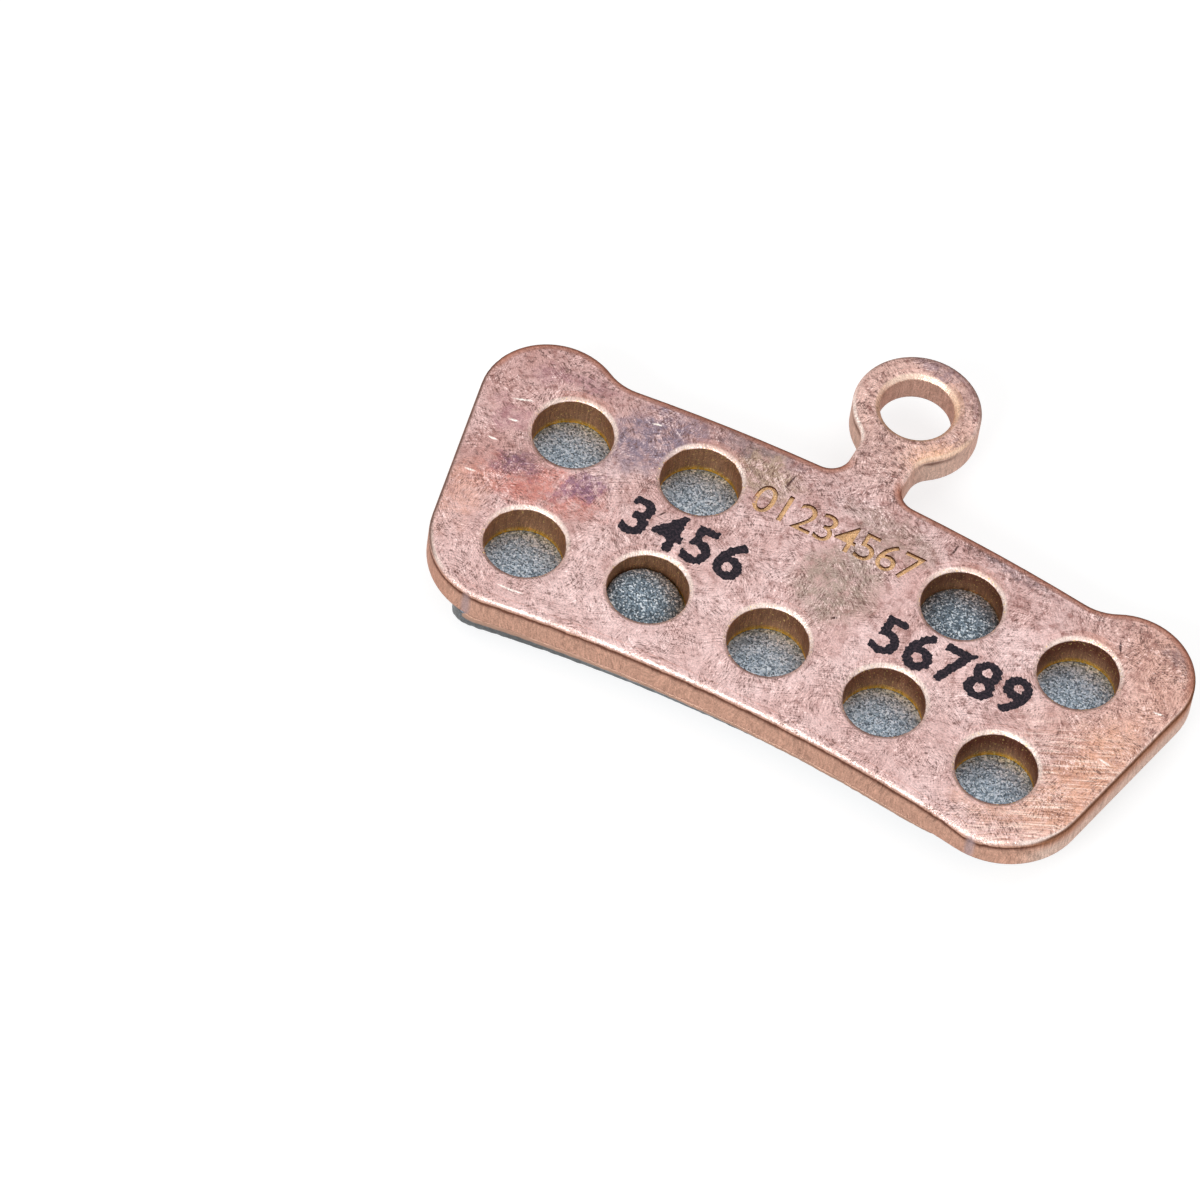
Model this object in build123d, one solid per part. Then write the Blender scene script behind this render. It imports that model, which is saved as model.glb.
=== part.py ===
from build123d import *
import os
from math import acos, asin, cos, degrees, radians, sin, sqrt

# Disc brake pad for a bicycle caliper: a blanked steel backing plate with a block of sintered
# friction compound bonded to its front face. Millimetres and degrees. The pad lies on its friction
# face: X runs along the pad, +Y points to the pin eye and +Z out of the back of the plate.

# Backing plate: a ring sector about the centre of the brake disc, with ears and an eye on a neck
plate_thickness = 2.3
plate_inner_radius = 102.18
plate_outer_radius = 119.95
plate_half_angle = 11.3
foot_corner_radius = 5.0
ear_corner_radius = 4.25
ear_reach_radius = 121.5
ear_blend_radius = 3.2
neck_width = 3.6
neck_foot_radius = 1.3
neck_top_radius = 1.5
eye_centre_radius = 126.58
eye_outer_diameter = 7.7
eye_bore_diameter = 4.4
back_edge_roll = 0.35
rim_break = 0.3

# Keying holes: two rows on arcs about the same centre
hole_diameter = 5.0
lower_row_radius = 107.0
lower_row_pitch = 4.13
upper_row_radius = 115.5
upper_inner_angle = 4.25
upper_outer_angle = 8.25

# Friction block: a smaller ring sector, ground to a cone along its inner edge
block_height = 2.0
block_inner_margin = 0.35
block_outer_margin = 0.1
block_half_angle = 10.0
block_foot_radius = 1.8
block_top_radius = 2.6
bevel_wall_height = 0.95
bevel_width = 1.7

# Keys: compound that was pressed up into two of the holes
key_clearance = 0.03
key_wall_height = 0.45
key_crown_height = 0.8

# The origin lies on the friction face, this far from the centre of the brake disc
origin_radius = 112.0


def polar(radius, angle):
    """Point at a radius from the disc's centre and an angle from the middle of the pad."""
    return Vector(radius * sin(radians(angle)), radius * cos(radians(angle)))


def corner_centre(reach, radius, half_angle):
    """Centre of a corner circle that touches the straight end of a ring sector."""
    return polar(reach, half_angle - degrees(asin(radius / reach)))


def end_point(centre, radius, half_angle):
    """Point where a corner circle touches the straight end of a ring sector."""
    return centre + polar(radius, 90 + half_angle)


def ring_point(centre, ring_radius):
    """Point where a circle touches a ring about the disc's centre."""
    return centre.normalized() * ring_radius


def touch_point(centre, radius, other_centre):
    """Point where a circle touches another circle."""
    return centre + (other_centre - centre).normalized() * radius


# Centres of the circles that make the right half of the plate's outline
foot = corner_centre(plate_inner_radius + foot_corner_radius, foot_corner_radius, plate_half_angle)
ear = corner_centre(ear_reach_radius - ear_corner_radius, ear_corner_radius, plate_half_angle)
ear_angle = degrees(asin(ear.X / ear.length))
blend_reach = plate_outer_radius + ear_blend_radius
blend_gap = ear_corner_radius + ear_blend_radius
blend_turn_cosine = (ear.length**2 + blend_reach**2 - blend_gap**2) / (2 * ear.length * blend_reach)
blend = polar(blend_reach, ear_angle - degrees(acos(blend_turn_cosine)))

neck_side = neck_width / 2
neck_foot_x = neck_side + neck_foot_radius
neck_foot_reach = plate_outer_radius + neck_foot_radius
neck_foot = Vector(neck_foot_x, sqrt(neck_foot_reach**2 - neck_foot_x**2))
eye = Vector(0, eye_centre_radius)
eye_outer_radius = eye_outer_diameter / 2
neck_top_x = neck_side + neck_top_radius
neck_top_reach = eye_outer_radius + neck_top_radius
neck_top = eye + Vector(neck_top_x, -sqrt(neck_top_reach**2 - neck_top_x**2))

hole_places = [polar(lower_row_radius, step * lower_row_pitch) for step in (-2, -1, 0, 1, 2)]
for upper_angle in (upper_inner_angle, upper_outer_angle):
    hole_places += [polar(upper_row_radius, side * upper_angle) for side in (-1, 1)]

# Backing plate, blanked from sheet: rolled over at the back, with the rims of its holes broken
with BuildPart() as backing_plate:
    with BuildSketch(Plane((0, -origin_radius, block_height))):
        with BuildLine():
            inner_edge = RadiusArc(
                (0, plate_inner_radius), ring_point(foot, plate_inner_radius), plate_inner_radius
            )
            foot_corner = RadiusArc(
                inner_edge @ 1, end_point(foot, foot_corner_radius, plate_half_angle), -foot_corner_radius
            )
            end = Line(foot_corner @ 1, end_point(ear, ear_corner_radius, plate_half_angle))
            ear_corner = RadiusArc(end @ 1, touch_point(ear, ear_corner_radius, blend), -ear_corner_radius)
            ear_blend = RadiusArc(ear_corner @ 1, ring_point(blend, plate_outer_radius), ear_blend_radius)
            outer_edge = RadiusArc(
                ear_blend @ 1, ring_point(neck_foot, plate_outer_radius), -plate_outer_radius
            )
            neck_fillet = RadiusArc(outer_edge @ 1, (neck_side, neck_foot.Y), neck_foot_radius)
            neck = Line(neck_fillet @ 1, (neck_side, neck_top.Y))
            eye_fillet = RadiusArc(neck @ 1, touch_point(eye, eye_outer_radius, neck_top), neck_top_radius)
            RadiusArc(eye_fillet @ 1, (0, eye_centre_radius + eye_outer_radius), -eye_outer_radius)
            mirror(about=Plane.YZ)
        make_face()
        with Locations(eye):
            Circle(eye_bore_diameter / 2, mode=Mode.SUBTRACT)
        with Locations(*hole_places):
            Circle(hole_diameter / 2, mode=Mode.SUBTRACT)
    extrude(amount=plate_thickness)
    back = backing_plate.faces().sort_by(Axis.Z)[-1]
    fillet(back.outer_wire().edges(), back_edge_roll)
    front, *_, back = backing_plate.faces().sort_by(Axis.Z)
    eye_front = front.inner_wires().sort_by(Axis.Y)[-1]
    chamfer([edge for rim in (eye_front, *back.inner_wires()) for edge in rim.edges()], rim_break)

# Key: a short round stub with a crowned end, as the compound stands in a hole
key_radius = hole_diameter / 2 - key_clearance
key_rise = key_crown_height - key_wall_height
key_crown_radius = (key_radius**2 + key_rise**2) / (2 * key_rise)
with BuildPart() as key:
    with BuildSketch(Plane.XZ):
        with BuildLine():
            stub = Polyline((0, 0), (key_radius, 0), (key_radius, key_wall_height))
            RadiusArc(stub @ 1, (0, key_crown_height), -key_crown_radius)
            Line((0, key_crown_height), (0, 0))
        make_face()
    revolve(axis=Axis.Z)

# Friction block with its two keys, moulded on the plate's front face
block_inner_radius = plate_inner_radius + block_inner_margin
block_outer_radius = plate_outer_radius - block_outer_margin
block_foot = corner_centre(block_inner_radius + block_foot_radius, block_foot_radius, block_half_angle)
block_top = corner_centre(block_outer_radius - block_top_radius, block_top_radius, block_half_angle)
key_places = [polar(lower_row_radius, -lower_row_pitch), polar(upper_row_radius, upper_inner_angle)]
bevel_depth = block_height - bevel_wall_height
bevel_y = block_inner_radius - origin_radius

with BuildPart() as friction_block:
    with BuildSketch(Plane((0, -origin_radius, 0))):
        with BuildLine():
            inner_edge = RadiusArc(
                (0, block_inner_radius), ring_point(block_foot, block_inner_radius), block_inner_radius
            )
            foot_corner = RadiusArc(
                inner_edge @ 1, end_point(block_foot, block_foot_radius, block_half_angle), -block_foot_radius
            )
            end = Line(foot_corner @ 1, end_point(block_top, block_top_radius, block_half_angle))
            top_corner = RadiusArc(end @ 1, ring_point(block_top, block_outer_radius), -block_top_radius)
            RadiusArc(top_corner @ 1, (0, block_outer_radius), -block_outer_radius)
            mirror(about=Plane.YZ)
        make_face()
    extrude(amount=block_height)
    with BuildSketch(Plane.YZ):
        with BuildLine():
            Polyline(
                (bevel_y + 2 * bevel_width, -bevel_depth),
                (bevel_y - bevel_width, 2 * bevel_depth),
                (bevel_y - bevel_width, -bevel_depth),
                close=True,
            )
        make_face()
    revolve(axis=Axis((0, -origin_radius, 0), (0, 0, 1)), mode=Mode.SUBTRACT)
    with Locations(*[place + Vector(0, -origin_radius, block_height) for place in key_places]):
        add(key.part)

os.makedirs("parts", exist_ok=True)
export_step(backing_plate.part, "parts/backing_plate.step")
export_step(friction_block.part, "parts/friction_pad.step")
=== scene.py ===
from math import cos, radians, sin

import bmesh
import bpy
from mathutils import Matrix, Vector


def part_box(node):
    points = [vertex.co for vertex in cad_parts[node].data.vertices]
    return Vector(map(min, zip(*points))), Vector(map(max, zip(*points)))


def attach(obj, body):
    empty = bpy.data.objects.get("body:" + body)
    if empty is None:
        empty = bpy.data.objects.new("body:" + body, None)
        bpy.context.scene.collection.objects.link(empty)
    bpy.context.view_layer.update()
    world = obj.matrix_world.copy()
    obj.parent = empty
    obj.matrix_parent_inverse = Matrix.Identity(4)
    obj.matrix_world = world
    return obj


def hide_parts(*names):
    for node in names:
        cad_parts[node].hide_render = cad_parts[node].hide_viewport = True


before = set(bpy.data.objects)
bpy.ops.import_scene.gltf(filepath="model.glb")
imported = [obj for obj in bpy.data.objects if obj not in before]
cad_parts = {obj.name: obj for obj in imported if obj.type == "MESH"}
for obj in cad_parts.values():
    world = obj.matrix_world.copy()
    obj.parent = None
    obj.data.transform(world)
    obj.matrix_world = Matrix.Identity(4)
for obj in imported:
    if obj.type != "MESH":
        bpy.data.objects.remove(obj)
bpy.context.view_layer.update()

# Backing plate: steel sheet, blanked and pierced in one stroke, tumbled and then copper plated all
# over. Blanking rolled the back edges and the rims over and left the walls below them sheared, and
# a row of plain digits is engraved between its upper holes.
MM = 0.001
MERGE_DISTANCE = 0.001 * MM
PLATE_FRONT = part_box("backing_plate")[0].z
PLATE_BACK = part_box("backing_plate")[1].z
DISC_CENTRE_Y = -112 * MM
HOLE_RADIUS = 2.5 * MM
LOWER_ROW_RADIUS = 107.0 * MM
LOWER_ROW_PITCH = 4.13
UPPER_ROW_RADIUS = 115.5 * MM
UPPER_ROW_ANGLES = (-8.25, -4.25, 4.25, 8.25)
EYE_PLACE = Vector((0, 14.58 * MM, 0))
EYE_RIM_RADIUS = 2.6 * MM
FRONT_ROLL = 0.22 * MM
RIM_ROLL = 0.1 * MM
RIM_REACH = 2.95 * MM
RIM_DEPTH = 0.45 * MM
RIM_FLATTENING = 0.65
HOLE_NARROWING = 0.965
ROLL_DEPTH = 0.35 * MM
DROOP_RING = 0.2 * MM
EDGE_DROOP = 0.045 * MM
RING_DROOP = 0.015 * MM
CORNER_PLACE = Vector((16.3 * MM, -10.6 * MM, 0))
CORNER_REACH = 1.0 * MM
CORNER_SPREAD = 1.4 * MM
CORNER_DROP = 0.25 * MM
ROLL_FOOT = (0.3 * MM, 0.4 * MM)
ENGRAVED_PLACE = Vector((0, 3.78 * MM, PLATE_BACK))
ENGRAVED_HEIGHT = 2.9 * MM
ENGRAVED_HALF_LENGTH = 7 * MM
ENGRAVED_DEPTH = 0.12 * MM
ENGRAVED_SPACING = 0.93
ENGRAVED_BOLDNESS = 0.005 * MM


def on_ring(radius, angle):
    """Place at a radius from the centre of the brake disc and an angle from the pad's middle."""
    return Vector((radius * sin(radians(angle)), DISC_CENTRE_Y + radius * cos(radians(angle)), 0))


keying_holes = [on_ring(LOWER_ROW_RADIUS, step * LOWER_ROW_PITCH) for step in (-2, -1, 0, 1, 2)]
keying_holes += [on_ring(UPPER_ROW_RADIUS, angle) for angle in UPPER_ROW_ANGLES]


def in_keying_hole(point, radius):
    """Whether a point lies within a radius of the middle of one of the keying holes."""
    return any((point - hole).xy.length < radius for hole in keying_holes)


def take_alone(piece):
    """Makes a piece the one selected and active object."""
    bpy.ops.object.select_all(action="DESELECT")
    piece.select_set(True)
    bpy.context.view_layer.objects.active = piece


def merge_doubles():
    """Joins the active piece's loose faces into one skin that points outwards."""
    bpy.ops.object.mode_set(mode="EDIT")
    bpy.ops.mesh.select_all(action="SELECT")
    bpy.ops.mesh.remove_doubles(threshold=MERGE_DISTANCE)
    bpy.ops.mesh.normals_make_consistent(inside=False)
    bpy.ops.object.mode_set(mode="OBJECT")


def merged_copy(node, name):
    """New piece with the mesh of a CAD node, its loose triangles joined into one skin."""
    piece = bpy.data.objects.new(name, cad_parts[node].data.copy())
    piece.data.materials.clear()
    bpy.context.collection.objects.link(piece)
    take_alone(piece)
    bpy.ops.mesh.customdata_custom_splitnormals_clear()
    merge_doubles()
    return piece


def select(piece, kind, wanted):
    """In edit mode, selects the vertices, edges or faces of a piece for which wanted says yes."""
    bpy.ops.mesh.select_mode(type=kind)
    bpy.ops.mesh.select_all(action="DESELECT")
    cage = bmesh.from_edit_mesh(piece.data)
    for part in {"VERT": cage.verts, "EDGE": cage.edges, "FACE": cage.faces}[kind]:
        if wanted(part):
            part.select_set(True)
    bmesh.update_edit_mesh(piece.data)


def apply_modifier(kind, **settings):
    """Adds a modifier to the active piece, sets it and applies it."""
    bpy.ops.object.modifier_add(type=kind)
    modifier = bpy.context.object.modifiers[-1]
    for name, value in settings.items():
        setattr(modifier, name, value)
    bpy.ops.object.modifier_apply(modifier=modifier.name)


def turn_between(edge, low, high):
    """Whether the two faces at an edge turn by an angle between low and high degrees."""
    return radians(low) < edge.calc_face_angle(0) < radians(high)


def is_front_outline(edge):
    """Whether an edge is on the sharp front outline, and not on the rim of a keying hole."""
    middle = (edge.verts[0].co + edge.verts[1].co) / 2
    on_front = middle.z < PLATE_FRONT + MERGE_DISTANCE
    return on_front and turn_between(edge, 60, 120) and not in_keying_hole(middle, 1.1 * HOLE_RADIUS)


def is_back_face(face):
    """Whether a face is part of the flat back of the plate."""
    return face.normal.z > 0.9999 and face.calc_center_median().z > PLATE_BACK - MERGE_DISTANCE


def is_brink(vertex):
    """Whether a vertex is the last on the flat back before the surface drops."""
    below = PLATE_BACK - MERGE_DISTANCE
    return vertex.co.z > below and any(edge.other_vert(vertex).co.z < below for edge in vertex.link_edges)


def is_on_roll(vertex):
    """Whether a vertex is on a rolled edge or rim below the flat back."""
    return MERGE_DISTANCE < PLATE_BACK - vertex.co.z < ROLL_DEPTH


def is_on_rim(vertex, hole):
    """Whether a vertex is on the broken rim of one keying hole."""
    return PLATE_BACK - vertex.co.z < RIM_DEPTH and (vertex.co - hole).xy.length < RIM_REACH


def is_at_corner(vertex):
    """Whether a vertex is at the foot of the roll, near the right corner."""
    at_foot = ROLL_FOOT[0] < PLATE_BACK - vertex.co.z < ROLL_FOOT[1]
    return at_foot and (vertex.co - CORNER_PLACE).xy.length < CORNER_REACH


def solid_digits(name, digits, place, height, spacing, boldness, thickness):
    """New closed piece in the shape of a row of digits, centred on a place."""
    bpy.ops.object.select_all(action="DESELECT")
    bpy.ops.object.text_add(location=place)
    row = bpy.context.object
    row.name = name
    row.data.body = digits
    row.data.align_x = "CENTER"
    row.data.align_y = "CENTER"
    row.data.size = height
    row.data.space_character = spacing
    row.data.offset = boldness
    row.data.extrude = thickness / 2
    bpy.ops.object.convert(target="MESH")
    bpy.ops.object.transform_apply(location=True)
    merge_doubles()
    return row


plate = merged_copy("backing_plate", "plate")
bpy.ops.object.mode_set(mode="EDIT")
bpy.ops.mesh.select_all(action="SELECT")
bpy.ops.mesh.dissolve_limited(angle_limit=radians(0.1))
select(plate, "EDGE", is_front_outline)
bpy.ops.mesh.bevel(offset=FRONT_ROLL, segments=4)
select(plate, "EDGE", lambda edge: turn_between(edge, 30, 60))
bpy.ops.mesh.bevel(offset=RIM_ROLL, segments=3)

# The pierced rims are shallower than the chamfers they start from, and drawn in with their bores
for hole in keying_holes:
    select(plate, "VERT", lambda vertex: (vertex.co - hole).xy.length < RIM_REACH)
    bpy.ops.transform.resize(value=(HOLE_NARROWING, HOLE_NARROWING, 1), center_override=hole)
    select(plate, "VERT", lambda vertex: is_on_rim(vertex, hole))
    bpy.ops.transform.resize(value=(1, 1, RIM_FLATTENING), center_override=(0, 0, PLATE_BACK))

# Die roll: the back droops towards its edges, and the roll dips at the near right corner
for _ in range(2):
    select(plate, "FACE", is_back_face)
    bpy.ops.mesh.inset(thickness=DROOP_RING, depth=0)
select(plate, "VERT", lambda vertex: is_brink(vertex) or is_on_roll(vertex))
bpy.ops.transform.resize(value=(1, 1, 1 - EDGE_DROOP / ROLL_DEPTH),
                         center_override=(0, 0, PLATE_BACK - ROLL_DEPTH))
select(plate, "VERT", is_brink)
bpy.ops.transform.translate(value=(0, 0, -RING_DROOP))
select(plate, "VERT", is_at_corner)
bpy.ops.transform.translate(value=(0, 0, -CORNER_DROP), use_proportional_edit=True,
                            proportional_edit_falloff="SMOOTH", proportional_size=CORNER_SPREAD)
bpy.ops.object.mode_set(mode="OBJECT")

graver = solid_digits("graver", "01234567", ENGRAVED_PLACE, ENGRAVED_HEIGHT, ENGRAVED_SPACING,
                      ENGRAVED_BOLDNESS, 2 * ENGRAVED_DEPTH)
take_alone(plate)
apply_modifier("BOOLEAN", operation="DIFFERENCE", solver="EXACT", use_self=True, object=graver)
bpy.data.objects.remove(graver)
bpy.ops.object.shade_smooth_by_angle(angle=radians(40))
apply_modifier("WEIGHTED_NORMAL", weight=100, keep_sharp=True)

# The walls of the holes and the engraved grooves are marked for the plating's colours
MARKS = ("keying_bore", "pin_bore", "groove")
marks = {name: plate.data.attributes.new(name, "FLOAT", "FACE") for name in MARKS}
for face in plate.data.polygons:
    offset = face.center - ENGRAVED_PLACE
    sunk = MERGE_DISTANCE < -offset.z < 1.1 * ENGRAVED_DEPTH
    in_row = abs(offset.x) < ENGRAVED_HALF_LENGTH and abs(offset.y) < ENGRAVED_HEIGHT / 2
    on_rim = in_keying_hole(face.center, 1.35 * HOLE_RADIUS)
    marks["keying_bore"].data[face.index].value = in_keying_hole(face.center, 1.02 * HOLE_RADIUS)
    marks["pin_bore"].data[face.index].value = (face.center - EYE_PLACE).xy.length < EYE_RIM_RADIUS
    marks["groove"].data[face.index].value = sunk and in_row and not on_rim

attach(plate, "root")
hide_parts("backing_plate")


def colour(code):
    """Linear colour of an sRGB hex code."""
    channels = [int(code[i:i + 2], 16) / 255 for i in (1, 3, 5)]
    return [*(c / 12.92 if c < 0.04045 else ((c + 0.055) / 1.055) ** 2.4 for c in channels), 1]


def add_node(tree, kind, sockets, **settings):
    """Adds a shader node, sets it, and fills its sockets with values or with other nodes' outputs."""
    node = tree.nodes.new("ShaderNode" + kind)
    for name, value in settings.items():
        setattr(node, name, value)
    for key, value in sockets.items():
        socket = next(s for s in node.inputs if key in (s.identifier, s.name))
        if isinstance(value, bpy.types.Node):
            value = next(s for s in value.outputs if s.enabled)
        if isinstance(value, bpy.types.NodeSocket):
            tree.links.new(value, socket)
        else:
            socket.default_value = value
    return node


def new_material(name, *pieces):
    """Puts a new, empty material on pieces and returns its nodes."""
    material = bpy.data.materials.new(name)
    material.use_nodes = True
    material.node_tree.nodes.remove(material.node_tree.nodes["Principled BSDF"])
    for piece in pieces:
        piece.data.materials.append(material)
    return material.node_tree


# Tumbled copper plating: a thin satin skin of pinkish copper. The eye sees a mottled metal, scuffed
# every way, bright along its rolled edges (partly painted highlight), brown on its sheared walls, with
# painted shade on the rolls that face away, and stained here and there.
copper = new_material("tumbled_copper_plating", plate)
point = add_node(copper, "TexCoord", {}).outputs["Object"]
point = add_node(copper, "Mapping", {"Vector": point, "Scale": (1 / MM,) * 3})
along, across, height = add_node(copper, "SeparateXYZ", {"Vector": point}).outputs
facing = add_node(copper, "NewGeometry", {}).outputs["Normal"]
lean_along, lean_across, up = add_node(copper, "SeparateXYZ", {"Vector": facing}).outputs
flatness = add_node(copper, "Math", {"Value": up}, operation="ABSOLUTE")
from_disc = add_node(copper, "Mapping", {
    "Vector": point, "Location": (0, -DISC_CENTRE_Y / MM, 0), "Scale": (1, 1, 0)})
ring = add_node(copper, "VectorMath", {"Vector": from_disc}, operation="LENGTH").outputs["Value"]
layers = []

# Broad mottling, 2.6 mm wide, and tints that fade across the plate: worn at the outer edge, warm on
# the neck and eye, flushed at the left end, ruddy at the right end and rubbed pale along the lower row
mottle = add_node(copper, "TexNoise", {"Vector": point, "Scale": 1 / 2.6, "Detail": 4})
mottle = add_node(copper, "MapRange", {"Value": mottle, "From Min": 0.38, "From Max": 0.62})
look = add_node(copper, "Mix", {
    "Factor_Float": mottle, "A_Color": colour("#c9a49f"), "B_Color": colour("#e0c2bf")}, data_type="RGBA")
for source, start, end, strength, tint in (
    (ring, 116, 120, 0.3, "#a8807a"),
    (across, 7, 11, 0.8, "#e0baae"),
    (along, -12, -19, 0.3, "#b67f75"),
    (along, 14, 21, 0.5, "#d8a68e"),
    (ring, 111, 106, 0.3, "#e4c4c0"),
):
    fade = add_node(copper, "MapRange", {
        "Value": source, "From Min": start, "From Max": end, "To Max": strength})
    layers.append((fade, colour(tint)))

# Cloudy oxide, 0.6 mm wide, stronger towards the outer edge
cloud = add_node(copper, "TexNoise", {"Vector": point, "Scale": 1 / 0.6, "Detail": 5, "Roughness": 0.7})
outwards = add_node(copper, "MapRange", {"Value": ring, "From Min": 106, "From Max": 116, "To Min": 0.5})
clouded = add_node(copper, "MapRange", {
    "Value": cloud, "From Min": 0.48, "From Max": 0.72, "To Max": outwards})
layers.append((clouded, colour("#8c5f58")))

# Heat tints and oily stains: middle x and y, half sizes, turn, colour and strength
STAINS = (
    (-16.4, -2.2, 5.4, 2.2, 8, "#c06a5a", 0.65),
    (-18.1, -1.4, 1.7, 1.4, 0, "#7d5d70", 0.85),
    (-14.2, -1.0, 1.0, 2.2, -40, "#83627a", 0.85),
    (-12.4, 4.2, 4.2, 2.6, 55, "#8b7a86", 1.0),
    (-20.4, 1.6, 1.6, 1.3, 0, "#a17078", 0.6),
    (-18.4, 5.7, 3.2, 0.9, 10, "#a0747c", 0.6),
    (-20.5, -5.0, 2.2, 3.2, 0, "#d59a80", 0.4),
    (-5.6, 5.6, 2.8, 2.0, -20, "#a08c74", 0.7),
    (1.8, 0.8, 3.0, 4.0, -15, "#a08f82", 0.8),
    (3.0, 5.4, 3.8, 1.6, -5, "#9c887c", 0.6),
    (20.2, -4.2, 2.6, 6.4, -8, "#d6a084", 0.7),
    (17.4, -8.4, 4.4, 1.8, 20, "#d6a48c", 0.6),
    (2.4, 11.6, 2.2, 1.6, 30, "#dcab8c", 0.5),
    (3.7, 13.4, 0.8, 1.4, -15, "#6f5660", 0.9),
    (2.6, 16.6, 1.8, 1.8, 0, "#8d6f70", 0.7),
    (-0.4, 18.0, 3.2, 0.8, 0, "#86707a", 0.7),
    (-1.2, 10.6, 1.4, 2.2, 0, "#b5948f", 0.6),
    (-7.0, 6.9, 4.6, 0.6, 6, "#6f6168", 0.6),
    (10.4, 6.7, 3.6, 0.6, -6, "#6f6168", 0.6),
    (21.2, 6.4, 1.6, 0.9, 0, "#7a686c", 0.5),
)
STAIN_WARP = 4.0
warp = add_node(copper, "TexNoise", {"Vector": point, "Scale": 1 / 1.3, "Detail": 6, "Roughness": 0.65})
warped = add_node(copper, "VectorMath", {
    "Vector": warp.outputs["Color"], "Vector_001": (STAIN_WARP, STAIN_WARP, 0), "Vector_002": point},
    operation="MULTIPLY_ADD")
broken = add_node(copper, "TexNoise", {"Vector": point, "Scale": 1 / 0.45, "Detail": 4, "Roughness": 0.7})
broken = add_node(copper, "MapRange", {
    "Value": broken, "From Min": 0.36, "From Max": 0.56, "To Min": 0.25})
for x, y, half_x, half_y, turn, tint, strength in STAINS:
    stain = add_node(copper, "Mapping", {
        "Vector": warped, "Location": (x + STAIN_WARP / 2, y + STAIN_WARP / 2, PLATE_BACK / MM),
        "Rotation": (0, 0, radians(turn)), "Scale": (half_x, half_y, 2)}, vector_type="TEXTURE")
    stain = add_node(copper, "TexGradient", {"Vector": stain}, gradient_type="SPHERICAL")
    stain = add_node(copper, "MapRange", {"Value": stain, "From Max": 0.5, "To Max": strength})
    stain = add_node(copper, "Math", {"Value": stain, "Value_001": broken}, operation="MULTIPLY")
    layers.append((stain, colour(tint)))

# Single scratches: middle x and y, length, turn and whether they are bright
SCRATCHES = (
    (-20.2, 2.9, 1.5, 20, True), (-20.0, 1.3, 0.7, 15, True), (-20.5, -0.5, 0.7, 5, True),
    (-20.5, -3.2, 0.8, 10, True), (-12.6, 5.4, 0.7, 20, True), (-14.5, -9.6, 1.9, 5, True),
    (4.0, 7.5, 1.0, 25, True), (21.8, 2.1, 0.8, 0, True), (22.3, -0.5, 0.6, -60, True),
    (20.6, -2.6, 0.9, -10, True), (17.9, 5.2, 1.2, -65, False), (6.5, 6.4, 1.2, 85, False),
    (-4.0, 5.8, 1.5, 85, False), (-9.4, -0.2, 0.7, 60, False), (2.6, -1.6, 0.5, 20, False),
)
SCRATCH_WIDTH = 0.09
SCRATCH_QUIVER = 0.3
quivering = add_node(copper, "VectorMath", {
    "Vector": warp.outputs["Color"], "Vector_001": (SCRATCH_QUIVER, SCRATCH_QUIVER, 0),
    "Vector_002": point}, operation="MULTIPLY_ADD")
for x, y, length, turn, bright in SCRATCHES:
    scratch = add_node(copper, "Mapping", {
        "Vector": quivering,
        "Location": (x + SCRATCH_QUIVER / 2, y + SCRATCH_QUIVER / 2, PLATE_BACK / MM),
        "Rotation": (0, 0, radians(turn)), "Scale": (length / 2, SCRATCH_WIDTH, 1)}, vector_type="TEXTURE")
    scratch = add_node(copper, "TexGradient", {"Vector": scratch}, gradient_type="SPHERICAL")
    scratch = add_node(copper, "MapRange", {"Value": scratch, "From Max": 0.5})
    layers.append((scratch, colour("#fff0e8" if bright else "#59413f")))

# Brushing on the right end: lines 0.12 mm wide, lighter and darker than the metal
brushed = add_node(copper, "Mapping", {
    "Vector": point, "Rotation": (0, 0, radians(27)), "Scale": (2.2, 0.12, 1)}, vector_type="TEXTURE")
brushed = add_node(copper, "TexNoise", {"Vector": brushed, "Scale": 1.0, "Detail": 3})
at_right = add_node(copper, "MapRange", {"Value": along, "From Min": 14, "From Max": 18, "To Max": 0.8})
at_right = add_node(copper, "MapRange", {
    "Value": across, "From Min": 0, "From Max": -3, "To Max": at_right})
for start, end, tint in ((0.53, 0.68, "#f6dccd"), (0.47, 0.34, "#ad7d69")):
    brush_lines = add_node(copper, "MapRange", {
        "Value": brushed, "From Min": start, "From Max": end, "To Max": at_right})
    layers.append((brush_lines, colour(tint)))

# Pits and dark flecks, 0.2 mm wide, denser along the outer edge
flecks = add_node(copper, "TexNoise", {"Vector": point, "Scale": 1 / 0.2, "Detail": 3, "Roughness": 0.6})
patches = add_node(copper, "TexNoise", {"Vector": point, "Scale": 1 / 3.5, "Detail": 2})
denser = add_node(copper, "MapRange", {"Value": ring, "From Min": 116.5, "From Max": 119.5, "To Max": 0.06})
pits = add_node(copper, "Math", {
    "Value": patches, "Value_001": 0.3, "Value_002": flecks}, operation="MULTIPLY_ADD")
pits = add_node(copper, "Math", {"Value": pits, "Value_001": denser}, operation="ADD")
pits = add_node(copper, "MapRange", {"Value": pits, "From Min": 0.76, "From Max": 0.88, "To Max": 0.75})
layers.append((pits, colour("#5e4540")))

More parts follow.
